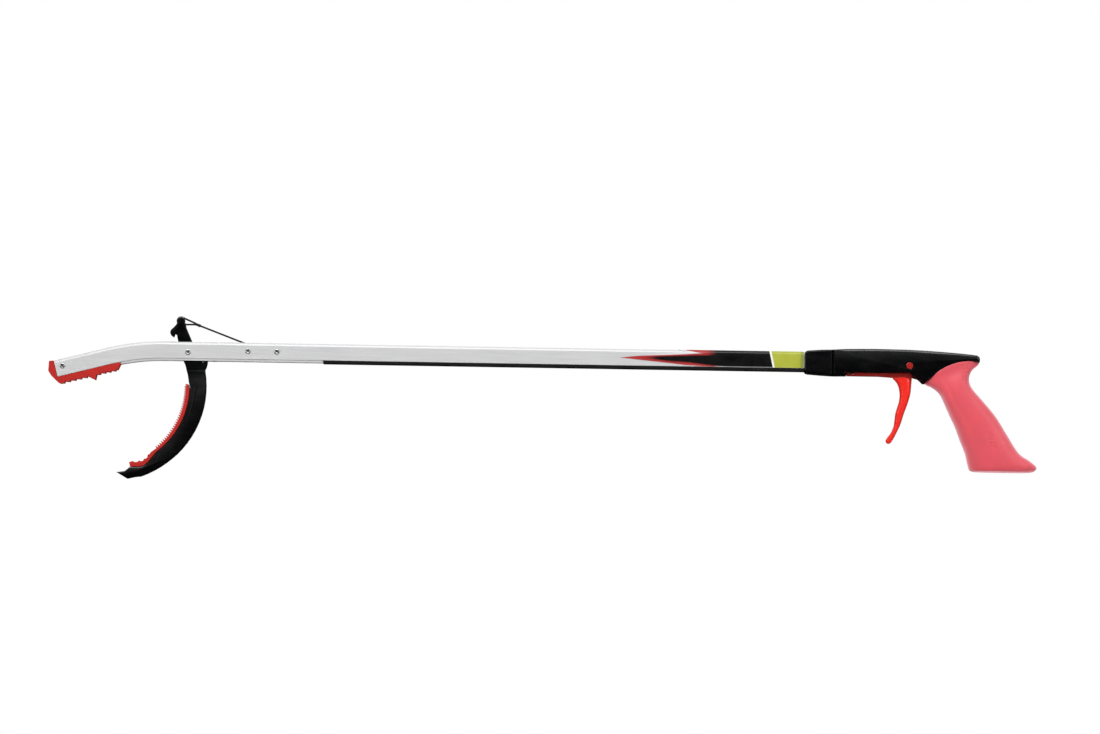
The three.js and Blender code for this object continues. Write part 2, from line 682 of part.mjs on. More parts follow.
place('cord_loop', 'cord', cordLoop());
place('cord_crimp', 'blackPlastic', cordCrimp());
place('cord_strand', 'cord', cordStrand());
place('pull_cord', 'cord', pullCord());
place('cord_bend', 'cord', cordBend());
place('cord_tail', 'cord', cordTail());
place('cord_nipple', 'steel', cordNipple());

place('trigger', 'redPlastic', trigger());
place('trigger_pin', 'redPlastic', triggerPin());
place('cord_guide_post', 'steel', cordGuidePost());
place('front_collar', 'blackPlastic', frontCollar());
place('handle_shell_left', 'blackPlastic', handleShellLeft());
place('handle_shell_right', 'blackPlastic', handleShellRight());
place('handle_screw_front', 'steel', handleScrew(HANDLE_SCREWS.front));
place('handle_screw_rear', 'steel', handleScrew(HANDLE_SCREWS.rear));
place('shaft_pin', 'steel', shaftPin());
place('grip_sleeve', 'grip', gripSleeve());

group.position.set(-CENTRE_X, 0, -LOWEST_Z);

export default group;
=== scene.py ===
"""Reacher grabber: detailed pieces, materials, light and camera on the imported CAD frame."""
from math import asin, atan2, cos, degrees, pi, radians, sin

import bmesh
import bpy
from mathutils import Matrix, Vector


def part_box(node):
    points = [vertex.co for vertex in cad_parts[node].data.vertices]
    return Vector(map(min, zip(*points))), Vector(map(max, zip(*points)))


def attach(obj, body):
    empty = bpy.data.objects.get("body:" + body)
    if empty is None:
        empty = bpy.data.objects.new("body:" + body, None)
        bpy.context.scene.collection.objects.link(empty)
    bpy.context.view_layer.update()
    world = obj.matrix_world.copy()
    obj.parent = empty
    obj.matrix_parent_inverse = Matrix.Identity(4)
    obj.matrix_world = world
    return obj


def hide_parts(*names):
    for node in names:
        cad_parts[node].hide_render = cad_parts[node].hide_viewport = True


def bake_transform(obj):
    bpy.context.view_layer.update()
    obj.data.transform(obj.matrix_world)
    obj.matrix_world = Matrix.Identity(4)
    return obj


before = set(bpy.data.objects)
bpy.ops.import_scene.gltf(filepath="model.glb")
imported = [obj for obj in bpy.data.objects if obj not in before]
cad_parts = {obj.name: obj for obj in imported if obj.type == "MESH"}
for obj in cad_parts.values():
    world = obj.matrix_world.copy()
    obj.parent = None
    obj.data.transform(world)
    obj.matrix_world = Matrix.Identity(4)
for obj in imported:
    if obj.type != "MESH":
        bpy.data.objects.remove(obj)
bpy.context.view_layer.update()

# ------------------------------------------------------------------ driving dimensions (mm)
# Side view: x along the shaft, z above the shaft's top face, y across the tool.
SHAFT_END_X = 249.5
TIP_RIVET = (-412, -22.3)
JAW_PIVOT = (-304.3, -9)
SPRING_ANCHOR = (-252.7, -7.3)
CORD_GUIDE = (-227.8, -7.3)
SPRING_PIN = (-291, -17)
KNOB = (-311, 18.2)
CRIMP = (-296.5, 14.9)
CORD_POST = (261, -7.5)
TRIGGER_PIN = (316, -10.8)
CORD_NIPPLE = (266, -16.8)
CORD_RADIUS = 0.8
KNOB_EYE = 3.2  # radius of the cord's loop round the knob
GUIDE_OFFSET = 3.3  # from the centre of the guide to the cord
POST_OFFSET = 5.0  # from the centre of the post to the cord
CRIMP_HALF_LENGTH = 2.4
BEND_TAKE_UP = 26  # length before the post that does the same
PIN_BORE = 3.3
NIPPLE_BORE = 2.4
CORD_SLOT_HALF_WIDTH = 1.2
LEVER_HALF_WIDTH = 6.9
LINER_HALF_WIDTH = 7
LINER_TEETH = 29
SPRING_WIRE = 0.4
SPRING_RADIUS = 1.8
SPRING_TURNS = 25
SPRING_LEAD = 7.5  # from the pin to the first turn
SPRING_TAIL = 5.5  # from the last turn to the anchor
FRONT_EYE = 2
REAR_EYE = 3.2
GRIP_SIDES = 56
STRAP_HOLE_X = 398
STRAP_HOLE_RADIUS = 1.8

_, shaft_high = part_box("shaft_channel")
ORIGIN = Vector((shaft_high[0] - SHAFT_END_X / 1000, 0, shaft_high[2]))


# ------------------------------------------------------------------ places and curves
def at(x, z, y=0.0):
    """A side-view place in mm as a point in the shared frame, in metres."""
    return ORIGIN + Vector((x, y, z)) / 1000


def along(place, angle, distance):
    """The side-view place at that distance and angle in degrees from another one."""
    return (place[0] + distance * cos(radians(angle)), place[1] + distance * sin(radians(angle)))


def slope(start, end):
    """The angle in degrees of the side-view line from start to end."""
    return degrees(atan2(end[1] - start[1], end[0] - start[0]))


def arc(centre, radius, first, last, steps):
    """Side-view points on an arc."""
    return [along(centre, first + (last - first) * step / steps, radius) for step in range(steps + 1)]


def smooth_line(points, steps):
    """Catmull-Rom points through tuples of any length."""
    ends = [points[0], *points, points[-1]]
    line = []
    for index in range(len(points) - 1):
        a, b, c, d = ends[index:index + 4]
        for step in range(steps):
            t = step / steps
            line.append(tuple(
                0.5 * (2 * q + (r - p) * t + (2 * p - 5 * q + 4 * r - s) * t ** 2
                       + (3 * q - p - 3 * r + s) * t ** 3)
                for p, q, r, s in zip(a, b, c, d)
            ))
    return [*line, tuple(points[-1])]


# ------------------------------------------------------------------ mesh building
def new_piece(name, work, material, smooth_angle=40):
    """An object from a bmesh, shaded smooth except at edges sharper than the angle."""
    bmesh.ops.recalc_face_normals(work, faces=work.faces)
    mesh = bpy.data.meshes.new(name)
    work.to_mesh(mesh)
    work.free()
    mesh.shade_smooth()
    mesh.set_sharp_from_angle(angle=radians(smooth_angle))
    mesh.materials.append(material)
    piece = bpy.data.objects.new(name, mesh)
    bpy.context.scene.collection.objects.link(piece)
    return piece


def loft_into(work, rings):
    """Faces between rings of points, each ring closed, with a cap at both ends."""
    rows = [[work.verts.new(point) for point in ring] for ring in rings]
    for row, following in zip(rows, rows[1:]):
        count = len(row)
        for side in range(count):
            after = (side + 1) % count
            work.faces.new((row[side], row[after], following[after], following[side]))
    work.faces.new(rows[0])
    work.faces.new(rows[-1])


def tube_into(work, points, radius, sides=10):
    """A round tube along points in the shared frame, with no twist; its radius is in metres."""
    rings = []
    normal = None
    for index, point in enumerate(points):
        before = points[max(index - 1, 0)]
        after = points[min(index + 1, len(points) - 1)]
        direction = (after - before).normalized()
        if normal is None:
            normal = direction.orthogonal().normalized()
        normal = (normal - direction * normal.dot(direction)).normalized()
        across = direction.cross(normal)
        rings.append([
            point + radius * (normal * cos(2 * pi * side / sides) + across * sin(2 * pi * side / sides))
            for side in range(sides)
        ])
    loft_into(work, rings)


def lathe_into(work, place, profile, sides=32):
    """Profile points (radius, y) in mm turned about the line across the tool at that place."""
    rings = []
    for radius, y in profile:
        rings.append([at(*along(place, 360 * side / sides, radius), y) for side in range(sides)])
    loft_into(work, rings)


def plate_into(work, outline, half_width, edge):
    """A flat plate of that side-view outline, with its long edges rounded."""
    made = bmesh.new()
    sides = [[made.verts.new(at(x, z, y)) for x, z in outline] for y in (-half_width, half_width)]
    near = made.faces.new(sides[0])
    far = made.faces.new(sides[1])
    count = len(outline)
    for side in range(count):
        after = (side + 1) % count
        made.faces.new((sides[0][side], sides[0][after], sides[1][after], sides[1][side]))
    bmesh.ops.recalc_face_normals(made, faces=made.faces)
    rims = list({line for face in (near, far) for line in face.edges})
    bmesh.ops.bevel(made, geom=rims, offset=edge / 1000, offset_type="OFFSET", segments=4,
                    profile=0.5, affect="EDGES", clamp_overlap=True)
    mesh = bpy.data.meshes.new("plate")
    made.to_mesh(mesh)
    made.free()
    work.from_mesh(mesh)
    bpy.data.meshes.remove(mesh)


def carve(piece, cutter_work):
    """Cut the bmesh's volume out of a piece."""
    bmesh.ops.recalc_face_normals(cutter_work, faces=cutter_work.faces)
    mesh = bpy.data.meshes.new("cutter")
    cutter_work.to_mesh(mesh)
    cutter_work.free()
    cutter = bpy.data.objects.new("cutter", mesh)
    bpy.context.scene.collection.objects.link(cutter)
    cut = piece.modifiers.new("cut", "BOOLEAN")
    cut.object = cutter
    cut.use_self = True
    bpy.context.view_layer.update()
    evaluated = piece.evaluated_get(bpy.context.evaluated_depsgraph_get())
    solved = bpy.data.meshes.new_from_object(evaluated)
    piece.modifiers.clear()
    piece.data = solved
    bpy.data.objects.remove(cutter)


def cad_copy(node):
    """A CAD node's own mesh as a bmesh, with its flat faces whole."""
    work = bmesh.new()
    work.from_mesh(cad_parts[node].data)
    bmesh.ops.remove_doubles(work, verts=work.verts, dist=1e-6)
    bmesh.ops.dissolve_limit(work, angle_limit=radians(0.6), verts=work.verts, edges=work.edges)
    return work


def refined(node, name, body, material, edge=0.3, segments=2, angle=35, work=None):
    """A piece from a CAD node's own mesh, with its hard edges rounded by edge mm."""
    piece = new_piece(name, work or cad_copy(node), material, smooth_angle=angle)
    if edge:
        rounding = piece.modifiers.new("rounded edges", "BEVEL")
        rounding.width = edge / 1000
        rounding.segments = segments
        rounding.limit_method = "ANGLE"
        rounding.angle_limit = radians(angle)
        rounding.harden_normals = True
        rounding.miter_outer = "MITER_ARC"
    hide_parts(node)
    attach(piece, body)
    return piece


# ------------------------------------------------------------------ material building
class Graph:
    """Shader nodes of one material, with short calls for the common ones."""

    def __init__(self, name, **surface):
        self.material = bpy.data.materials.new(name)
        self.material.use_nodes = True
        self.tree = self.material.node_tree
        self.surface = self.tree.nodes["Principled BSDF"]
        for socket, value in surface.items():
            self.surface.inputs[socket.replace("_", " ")].default_value = value
        coordinates = self.tree.nodes.new("ShaderNodeTexCoord")
        self.place = coordinates.outputs["Object"]

    def add(self, kind, link=(), **values):
        """A new node, with its settings and with a value or a link for each named socket."""
        made = self.tree.nodes.new(kind)
        for key, value in values.items():
            setattr(made, key, value)
        for socket, source in dict(link).items():
            self.put(made.inputs[socket], source)
        return made

    def put(self, socket, source):
        """Links a socket to another one, or gives it a constant."""
        if isinstance(source, bpy.types.NodeSocket):
            self.tree.links.new(source, socket)
        else:
            socket.default_value = source

    def scaled(self, scale, turn=(0, 0, 0)):
        """The object's own coordinates, stretched and turned."""
        mapping = self.add("ShaderNodeMapping", {"Vector": self.place, "Scale": scale, "Rotation": turn})
        return mapping.outputs["Vector"]

    def noise(self, scale, detail=3, stretch=(1, 1, 1), roughness=0.5):
        """A noise value for each place, stretched along the axes."""
        made = self.add("ShaderNodeTexNoise", {
            "Vector": self.scaled(stretch), "Scale": scale, "Detail": detail, "Roughness": roughness})
        return made.outputs["Fac"]

    def math(self, operation, *values, clamp=False):
        """The result of one operation on values or sockets."""
        made = self.add("ShaderNodeMath", dict(enumerate(values)), operation=operation, use_clamp=clamp)
        return made.outputs[0]

    def spread(self, value, low, high, to_low, to_high, smooth=False):
        """The value taken from one range to another, held at its ends."""
        made = self.add("ShaderNodeMapRange", {
            0: value, 1: low, 2: high, 3: to_low, 4: to_high},
            interpolation_type="SMOOTHSTEP" if smooth else "LINEAR")
        return made.outputs[0]

    def mix(self, factor, first, second):
        """The first colour where the factor is 0 and the second where it is 1."""
        made = self.add("ShaderNodeMix", data_type="RGBA")
        self.put(made.inputs[0], factor)
        self.put(made.inputs[6], first)
        self.put(made.inputs[7], second)
        return made.outputs[2]

    def set(self, socket, source):
        """Links or sets a socket of the surface shader."""
        self.put(self.surface.inputs[socket], source)

    def two_tone(self, mask, low, high, first, second):
        """Base colour that goes from the first to the second as the mask rises from low to high."""
        self.set("Base Color", self.mix(self.spread(mask, low, high, 0, 1), first, second))

    def roughness(self, mask, smoothest, roughest, low=0.3, high=0.7):
        """Roughness that grows as the mask rises from low to high."""
        self.set("Roughness", self.spread(mask, low, high, smoothest, roughest))

    def bump(self, height, strength, distance):
        """Small relief in the surface; the distance is in metres."""
        made = self.add("ShaderNodeBump", {"Height": height, "Strength": strength, "Distance": distance})
        self.set("Normal", made.outputs["Normal"])


def colour(red, green, blue):
    """A linear colour with full alpha."""
    return (red, green, blue, 1)


def aluminium():
    """Satin anodised extrusion, with faint lengthwise drawing lines."""
    look = Graph("satin_aluminium", Metallic=0.25)
    lines = look.noise(1, 4, (30, 1600, 1600))
    cloud = look.noise(24, 3)
    dark = colour(0.52, 0.521, 0.527)
    light = colour(0.58, 0.581, 0.587)
    tint = look.mix(look.spread(lines, 0.35, 0.65, 0, 1), dark, light)
    haze = look.spread(cloud, 0.3, 0.7, 0, 0.25)
    look.set("Base Color", look.mix(haze, tint, colour(0.62, 0.62, 0.625)))
    uneven = look.math("ADD", lines, look.math("MULTIPLY", cloud, 0.5))
    look.roughness(uneven, 0.42, 0.56, low=0.4, high=1.1)
    look.bump(lines, 0.12, 0.00006)
    return look.material


def steel():
    """Bright zinc plate with a fine crystalline mottle."""
    look = Graph("zinc_steel", Metallic=1.0)
    crystals = look.add("ShaderNodeTexVoronoi", {"Vector": look.place, "Scale": 1500.0})
    wear = look.noise(260, 4)
    look.two_tone(wear, 0.35, 0.7, colour(0.58, 0.59, 0.6), colour(0.8, 0.8, 0.79))
    look.roughness(wear, 0.2, 0.38)
    look.bump(crystals.outputs["Distance"], 0.1, 0.00005)
    return look.material


def black_gloss():
    """Glossy moulded plastic with a slight orange peel and dulled scuffs."""
    look = Graph("gloss_black", Coat_Weight=0.1, Coat_Roughness=0.12, IOR=1.42)
    peel = look.noise(420, 2)
    scuff = look.noise(60, 6, (1, 1, 3), 0.65)
    look.two_tone(scuff, 0.45, 0.75, colour(0.001, 0.0011, 0.0015), colour(0.002, 0.0021, 0.0026))
    look.roughness(scuff, 0.2, 0.3, low=0.35, high=0.75)
    look.bump(peel, 0.08, 0.00008)
    return look.material


def black_satin():
    """Satin extruded strip with fine lengthwise grain."""
    look = Graph("satin_black", IOR=1.38)
    grain = look.noise(1, 3, (60, 1900, 1900))
    dust = look.noise(90, 5)
    look.two_tone(dust, 0.4, 0.75, colour(0.0015, 0.0016, 0.002), colour(0.005, 0.005, 0.0055))
    look.roughness(grain, 0.36, 0.5)
    look.bump(grain, 0.15, 0.00005)
    return look.material


def red_rubber():
    """Matt moulded rubber with a fine spark-eroded grain."""
    look = Graph("red_rubber", IOR=1.35)
    grain = look.noise(2200, 3)
    dust = look.noise(110, 5, roughness=0.6)
    look.two_tone(dust, 0.35, 0.75, colour(0.42, 0.009, 0.005), colour(0.36, 0.010, 0.006))
    look.roughness(dust, 0.6, 0.75)
    look.bump(grain, 0.25, 0.00008)
    return look.material


def red_plastic(name, depth):
    """Gloss moulded red plastic, faintly translucent; depth is how strong its red is, and a low depth is
    used as painted shade on the trigger lever.
    """
    look = Graph(name, Coat_Weight=0.3, Coat_Roughness=0.12, Subsurface_Weight=0.08,
                 Subsurface_Scale=0.002)
    flow = look.noise(38, 4, (1, 1, 0.4))
    peel = look.noise(500, 2)
    bright = colour(depth, 0.02 * depth, 0.008 * depth)
    dull = colour(0.88 * depth, 0.015 * depth, 0.006 * depth)
    look.two_tone(flow, 0.35, 0.7, bright, dull)
    look.roughness(flow, 0.24, 0.36)
    look.bump(peel, 0.08, 0.0001)
    return look.material


def grip_soft():
    """Soft translucent overmould with a fine matt texture and two patches of small studs."""
    look = Graph("soft_grip", Subsurface_Weight=0.3, Subsurface_Scale=0.004, Sheen_Weight=1.0,
                 Sheen_Roughness=0.5, Sheen_Tint=colour(1.0, 0.62, 0.68))
    look.set("Subsurface Radius", (1.0, 0.35, 0.3))
    grain = look.noise(1700, 3)
    cloud = look.noise(45, 5, roughness=0.6)
    look.two_tone(cloud, 0.35, 0.7, colour(0.66, 0.058, 0.082), colour(0.59, 0.051, 0.073))
    look.roughness(cloud, 0.42, 0.56)
    axes = look.add("ShaderNodeSeparateXYZ", {0: look.place})
    dots = look.add("ShaderNodeTexVoronoi", {
        "Vector": look.place, "Scale": 330.0, "Randomness": 0.35})
    studs = look.spread(dots.outputs["Distance"], 0.2, 0.42, 1, 0, smooth=True)
    patches = []
    for middle, reach in (((366, -17), 9), ((394, -72), 13)):
        spot = at(*middle)
        across = look.math("POWER", look.math("SUBTRACT", axes.outputs["X"], spot.x), 2)
        upward = look.math("POWER", look.math("SUBTRACT", axes.outputs["Z"], spot.z), 2)
        away = look.math("SQRT", look.math("ADD", across, upward))
        patches.append(look.spread(away, 0.6 * reach / 1000, reach / 1000, 1, 0, smooth=True))
    relief = look.math("MULTIPLY", studs, look.math("ADD", *patches, clamp=True))
    look.bump(look.math("ADD", look.math("MULTIPLY", grain, 0.16), relief), 0.7, 0.0005)
    return look.material


def braided_cord():
    """Black braided cord: two sets of crossing strands."""
    look = Graph("braided_cord", IOR=1.35)
    strands = []
    for turn in (0.9, -0.9):
        wave = look.add("ShaderNodeTexWave", {
            "Vector": look.scaled((1, 1, 1), (0, turn, 0)), "Scale": 260.0, "Distortion": 0.4})
        strands.append(wave.outputs["Fac"])
    weave = look.math("MAXIMUM", *strands)
    fuzz = look.noise(3000, 3)
    look.set("Base Color", look.mix(weave, colour(0.001, 0.001, 0.0012), colour(0.01, 0.01, 0.011)))
    look.roughness(fuzz, 0.6, 0.85)
    look.bump(weave, 0.6, 0.00015)
    return look.material


def printed_film():
    """The printed wrap: silver, a two-tongued flame that fades to black, a white slash, then green."""
    look = Graph("printed_film", Coat_Weight=0.1, Coat_Roughness=0.15, IOR=1.36)
    shifted = look.add("ShaderNodeMapping", {
        "Vector": look.place, "Location": tuple(-1000 * ORIGIN), "Scale": (1000, 1000, 1000)})
    axes = look.add("ShaderNodeSeparateXYZ", {0: shifted.outputs["Vector"]})
    x, z = axes.outputs["X"], axes.outputs["Z"]
    first_x, last_x, low_z, high_z = 60, 160, -16, 2

    def height_at(points):
        """The height in mm, along the shaft, of an edge drawn through these side-view points."""
        made = look.add("ShaderNodeFloatCurve")
        curve = made.mapping.curves[0]
        spots = [
            ((px - first_x) / (last_x - first_x), (pz - low_z) / (high_z - low_z))
            for px, pz in points
        ]
        curve.points[0].location = spots[0]
        curve.points[1].location = spots[-1]
        for spot in spots[1:-1]:
            curve.points.new(*spot)
        made.mapping.update()
        look.put(made.inputs["Value"], look.spread(x, first_x, last_x, 0, 1))
        return look.spread(made.outputs[0], 0, 1, low_z, high_z)

    def above(points, soft=0.5):
        """1 above the edge through these points and 0 below it."""
        return look.spread(look.math("SUBTRACT", z, height_at(points)), -soft, soft, 0, 1, smooth=True)

    def below(points, soft=0.5):
        """1 below the edge through these points and 0 above it."""
        return look.spread(look.math("SUBTRACT", z, height_at(points)), -soft, soft, 1, 0, smooth=True)

    def past(edge, soft=0.5, lean=0.0):
        """1 behind that place along the shaft and 0 in front of it, with a leaning edge if wanted."""
        leaning = look.math("ADD", x, look.math("MULTIPLY", z, lean))
        return look.spread(leaning, edge - soft, edge + soft, 0, 1, smooth=True)

    def everywhere(mask, *others):
        """Where every one of the masks holds."""
        for other in others:
            mask = look.math("MULTIPLY", mask, other)
        return mask

    mottle = look.noise(120, 4)
    silver = look.mix(mottle, colour(0.57, 0.572, 0.578), colour(0.64, 0.642, 0.648))
    streaks = look.noise(200, 4, (0.4, 1, 1))
    red = look.mix(streaks, colour(0.30, 0.022, 0.022), colour(0.44, 0.035, 0.035))
    black = look.mix(mottle, colour(0.001, 0.001, 0.0012), colour(0.0035, 0.0035, 0.004))
    green = look.mix(mottle, colour(0.32, 0.345, 0.03), colour(0.39, 0.415, 0.05))
    pink = colour(0.5, 0.3, 0.3)

    tongue = everywhere(
        past(67, 1.5),
        look.math("SUBTRACT", 1, past(150, 2)),
        below([(60, -7.3), (67, -7.4), (80, -6), (90, -5.4), (110, -4.5), (131, -3.2), (145, -2),
               (160, 1)], 0.35),
        above([(60, -7.9), (67, -7.8), (80, -9.1), (90, -9.9), (100, -11), (110, -11.7), (120, -12.8),
               (130, -13.4), (150, -14.2), (160, -14.4)], 0.35))
    top_spike = everywhere(
        past(124, 3),
        above([(60, 1), (124, -0.7), (135, -2.4), (141, -3.4), (152, -7), (160, -10)], 0.5))
    core = everywhere(
        past(92, 9),
        below([(60, -7), (84, -7.1), (98, -6), (130, -4.6), (150, -3.4), (153, -1), (160, 1)], 0.9),
        above([(60, -7.8), (84, -7.9), (100, -9.1), (110, -10.1), (120, -10.6), (130, -11.4),
               (147, -13.3), (160, -14)], 0.9))
    solid = everywhere(past(150.5, 1.6), above([(60, -13.5), (160, -13.5)], 0.2))
    low_band = everywhere(
        past(132, 6),
        look.spread(z, -12.8, -13.6, 0, 1, smooth=True),
        look.math("SUBTRACT", 1, past(151, 3)))

    paint = look.mix(low_band, silver, pink)
    paint = look.mix(tongue, paint, red)
    paint = look.mix(top_spike, paint, look.mix(past(145, 7), red, black))
    paint = look.mix(core, paint, black)
    paint = look.mix(solid, paint, black)
    paint = look.mix(past(195.6, 0.35, 0.22), paint, colour(0.75, 0.76, 0.74))
    paint = look.mix(past(197.2, 0.35, 0.22), paint, green)
    paint = look.mix(past(222.5, 0.3), paint, colour(0.27, 0.31, 0.04))
    look.set("Base Color", paint)
    look.set("Roughness", look.spread(mottle, 0.3, 0.7, 0.26, 0.38))
    look.bump(look.noise(300, 3), 0.05, 0.0001)
    return look.material


# ------------------------------------------------------------------ shaft and jaw
ALUMINIUM = aluminium()
STEEL = steel()
GLOSS = black_gloss()
SATIN = black_satin()
RUBBER = red_rubber()
RED = red_plastic("gloss_red", 0.84)
# The same red made darker: painted shade on the trigger lever between the handle's shells, and the
# darker red of the trigger pin's end.
DARK_RED_AND_PAINTED_SHADE = red_plastic("dark_red_and_painted_shade", 0.34)
SOFT = grip_soft()
CORD = braided_cord()
FILM = printed_film()


def shaft_pieces():
    """The channel, the strip that closes it, the printed wrap and the rubber tip pad."""
    refined("shaft_channel", "shaft_channel_body", "frame", ALUMINIUM, edge=0.25, angle=30)
    refined("channel_cover", "channel_cover_strip", "frame", SATIN, edge=0.2, angle=30)
    refined("graphic_wrap", "printed_wrap", "frame", FILM, edge=0, angle=30)
    refined("tip_pad", "tip_pad_rubber", "frame", RUBBER, edge=0.35, segments=3)


def liner_piece():
    """The jaw's rubber: a strip along the claw's inside, with even square-topped teeth."""
    centre = (-376.7, -38.1)
    back = arc((-373.2, -39.3), 70.8, -1.5, -52.3, 14)
    outline = [(-306, -36.9), (-304.6, -36.4), (-303.3, -36.9), *back]
    outline += [(-336, -103), (-340.2, -107.1), (-345, -108.3), (-352.1, -108.1), (-353, -104.2)]
    foot = [(-352.4, -104.4), (-346, -104.3), (-341, -103.2), (-337.4, -100.2), (-334.4, -95.5)]
    for start, end in zip(foot, foot[1:]):
        for share, out in ((0.02, 0), (0.3, -0.8), (0.45, -0.8), (0.6, 0), (0.98, 0)):
            x, z = (s + (e - s) * share for s, e in zip(start, end))
            outline.append(along((x, z), slope(start, end) - 90, out) if share < 0.97 else (x, z))
    for tooth in range(LINER_TEETH):
        for share, radius in ((0.0, 71.6), (0.15, 70.1), (0.5, 69.9), (0.62, 71.6)):
            outline.append(along(centre, -49 + 49.5 * (tooth + share) / LINER_TEETH, radius))
    work = bmesh.new()
    plate_into(work, outline, LINER_HALF_WIDTH, 0.25)
    piece = new_piece("jaw_liner_rubber", work, RUBBER, smooth_angle=30)
    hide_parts("jaw_liner")
    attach(piece, "jaw")


def jaw_moulding():
    """The jaw, with its claw narrowing smoothly up to the lever's width."""
    work = cad_copy("jaw_arm")
    taper_low, taper_high = -56, -24
    for height in range(taper_low, taper_high + 2, 3):
        bmesh.ops.bisect_plane(work, geom=[*work.verts, *work.edges, *work.faces],
                               plane_co=at(0, height), plane_no=(0, 0, 1))
    for corner in work.verts:
        height = (corner.co.z - ORIGIN.z) * 1000
        share = min(max((height - taper_low) / (taper_high - taper_low), 0), 1)
        if abs(corner.co.y) > 0.0048:
            corner.co.y *= 1 - 0.36 * share * share * (3 - 2 * share)
    refined("jaw_arm", "jaw_moulding", "jaw", GLOSS, edge=0.3, segments=3, angle=28,
            work=work)


def jaw_pieces():
    """The jaw, its liner, its spring pin and the fine ribs moulded on both of its sides."""
    jaw_moulding()
    liner_piece()
    refined("spring_pin", "spring_pin_steel", "jaw", STEEL, edge=0.15)
    work = bmesh.new()
    for side in (-1, 1):
        rib = smooth_line([(-296.6, -38), (-298.3, -48), (-300.6, -58), (-303.6, -68)], 6)
        mark = smooth_line([(-326.6, -97.6), (-328, -100.8), (-329.2, -104)], 5)
        tube_into(work, [at(x, z, side * 7.45) for x, z in rib], 0.00062)
        tube_into(work, [at(x, z, side * 7.45) for x, z in mark], 0.0005)
    piece = new_piece("jaw_moulded_ribs", work, GLOSS)
    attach(piece, "jaw")


# ------------------------------------------------------------------ rivets, pins and screws
def tubular_rivet(node, place):
    """A tubular rivet: a rolled rim round a hollow on each head."""
    profile = [(0.01, 7.1), (1.1, 7.15), (1.16, 7.5), (1.32, 7.8), (1.62, 7.94), (1.95, 7.86),
               (2.25, 7.6), (2.4, 7.25), (2.4, 7.03), (1.5, 7.0)]
    work = bmesh.new()
    lathe_into(work, place, profile + [(radius, -y) for radius, y in reversed(profile)])
    piece = new_piece(node + "_head", work, STEEL, smooth_angle=60)
    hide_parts(node)
    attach(piece, "frame")


def cross_screw(node, place):
    """A pan-head screw with a cross recess in its head."""
    work = bmesh.new()
    profile = [(0.01, -8.2), (1.0, -8.2), (1.2, -7.9), (1.2, 10.1), (2.6, 10.1), (2.62, 10.8),
               (2.35, 11.3), (1.7, 11.55), (0.01, 11.6)]
    lathe_into(work, place, profile, sides=40)
    piece = new_piece(node + "_cross", work, STEEL)
    recess = bmesh.new()
    for turn in (20, 110):
        corners = [along(along(place, turn, reach), turn + 90, width)
                   for reach, width in ((-1.5, -0.3), (1.5, -0.3), (1.5, 0.3), (-1.5, 0.3))]
        loft_into(recess, [[at(x, z, y) for x, z in corners] for y in (10.6, 12.2)])
    carve(piece, recess)
    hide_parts(node)
    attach(piece, "frame")


def fasteners():
    """The rivets and screws, and the turned pins, bush and spacer that stay with the frame."""
    for node, place in (("tip_rivet", TIP_RIVET), ("jaw_pivot_rivet", JAW_PIVOT),
                        ("spring_anchor_rivet", SPRING_ANCHOR), ("cord_guide_rivet", CORD_GUIDE)):
        tubular_rivet(node, place)
    cross_screw("handle_screw_front", (284, -5))
    cross_screw("handle_screw_rear", (346, -6))
    for node in ("jaw_pivot_bush", "cord_guide_spacer", "cord_guide_post", "shaft_pin"):
        refined(node, node + "_turned", "frame", STEEL, edge=0.2)
    # The pin's end uses the darker red that also paints the lever's shade.
    refined("trigger_pin", "trigger_pin_end", "frame", DARK_RED_AND_PAINTED_SHADE, edge=0.5, segments=3)


# ------------------------------------------------------------------ return spring
def return_spring():
    """One wire: an eye round the jaw's pin, the coil, then an eye round the anchor."""
    angle = slope(SPRING_PIN, SPRING_ANCHOR)
    first = along(SPRING_PIN, angle, SPRING_LEAD)
    last = along(SPRING_ANCHOR, angle + 180, SPRING_TAIL)
    length = (at(*last) - at(*first)).length * 1000
    path = [at(*place) for place in arc(SPRING_PIN, FRONT_EYE, angle + 330, angle, 22)]
    steps_a_turn = 16
    steps = SPRING_TURNS * steps_a_turn
    for step in range(steps + 1):
        turn = 2 * pi * step / steps_a_turn
        middle = along(first, angle, length * step / steps)
        grown = min(1, step / 12, (steps - step) / 12)
        x, z = along(middle, angle + 90, SPRING_RADIUS * grown * cos(turn))
        path.append(at(x, z, SPRING_RADIUS * grown * sin(turn)))
    path += [at(*place) for place in arc(SPRING_ANCHOR, REAR_EYE, angle + 180, angle - 150, 24)]
    work = bmesh.new()
    tube_into(work, path, SPRING_WIRE / 1000, sides=8)
    piece = new_piece("return_spring", work, STEEL, smooth_angle=80)
    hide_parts("spring_front_hook", "spring_coil", "spring_rear_hook")
    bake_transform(piece)


# ------------------------------------------------------------------ cord
def strand_slope():
    """The angle of the strand, from the crimp to where it touches the underside of the guide."""
    reach = (at(*CORD_GUIDE) - at(*CRIMP)).length * 1000
    return slope(CRIMP, CORD_GUIDE) - degrees(asin(GUIDE_OFFSET / reach))


def cord_piece(name, places, nodes):
    """A length of cord along side-view places, drawn in place of those CAD nodes."""
    work = bmesh.new()
    tube_into(work, [at(*place) for place in places], CORD_RADIUS / 1000, sides=12)
    piece = new_piece(name, work, CORD, smooth_angle=70)
    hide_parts(*nodes)
    return piece


def even_line(start, end, steps):
    """Evenly spaced side-view points from start to end."""
    return [
        tuple(s + (e - s) * step / steps for s, e in zip(start, end))
        for step in range(steps + 1)
    ]


